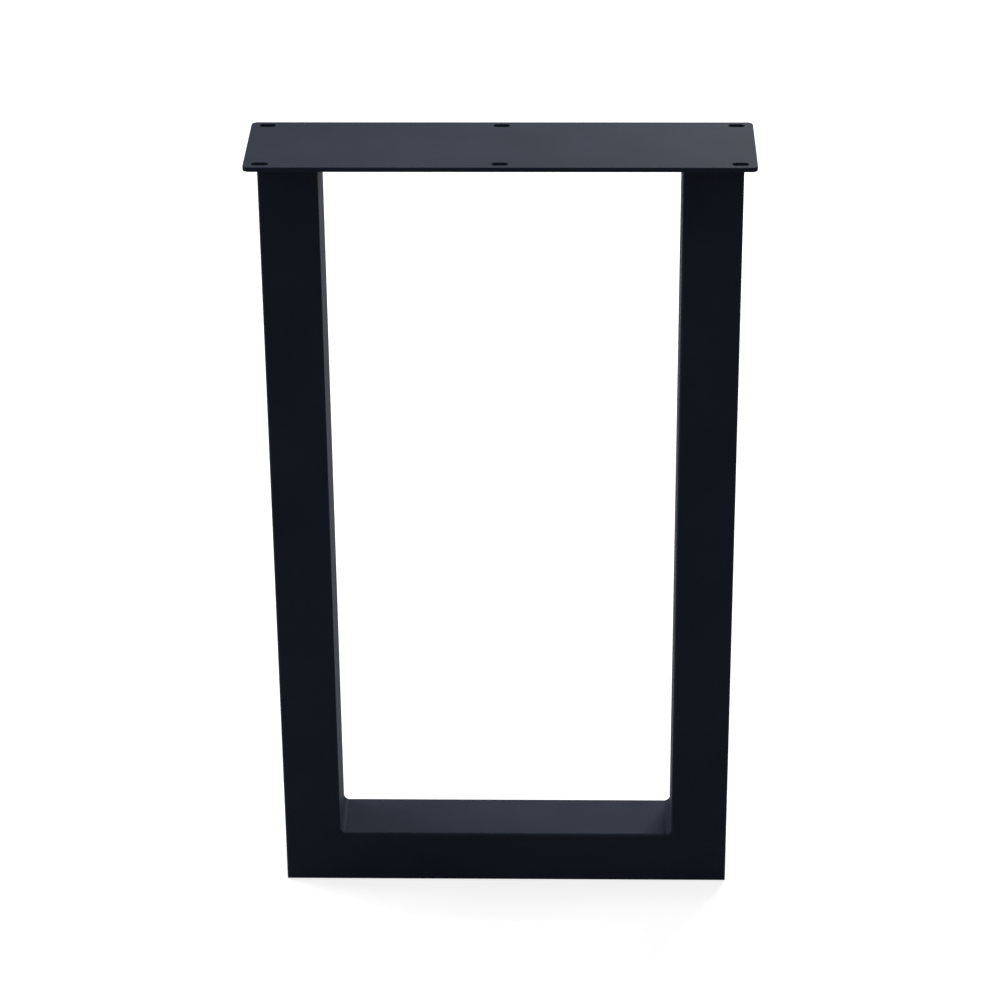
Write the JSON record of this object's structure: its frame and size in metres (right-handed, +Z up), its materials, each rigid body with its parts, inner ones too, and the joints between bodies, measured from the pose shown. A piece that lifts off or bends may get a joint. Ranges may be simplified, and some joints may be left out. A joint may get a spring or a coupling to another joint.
{
  "type": "u-shaped table leg",
  "caption": "Welded U-shaped table leg of black powder-coated rectangular steel tube: mitred uprights and floor rail under a flat, slotted screw-on top plate.",
  "frame": {"origin": "middle of the footprint, on the floor", "axes": "+Z up, X along the plate and the floor rail, Y front to back with the front at -Y"},
  "size_m": [0.42, 0.1, 0.71],
  "materials": {
    "black_powder_coat": "fine satin powder coat, black with a slight blue cast"
  },
  "bodies": {
    "root": {"top_plate": "black_powder_coat", "left_upright": "black_powder_coat", "right_upright": "black_powder_coat", "floor_rail": "black_powder_coat", "left_corner_weld": "black_powder_coat", "right_corner_weld": "black_powder_coat", "left_plate_weld": "black_powder_coat", "right_plate_weld": "black_powder_coat"}
  },
  "joints": []
}
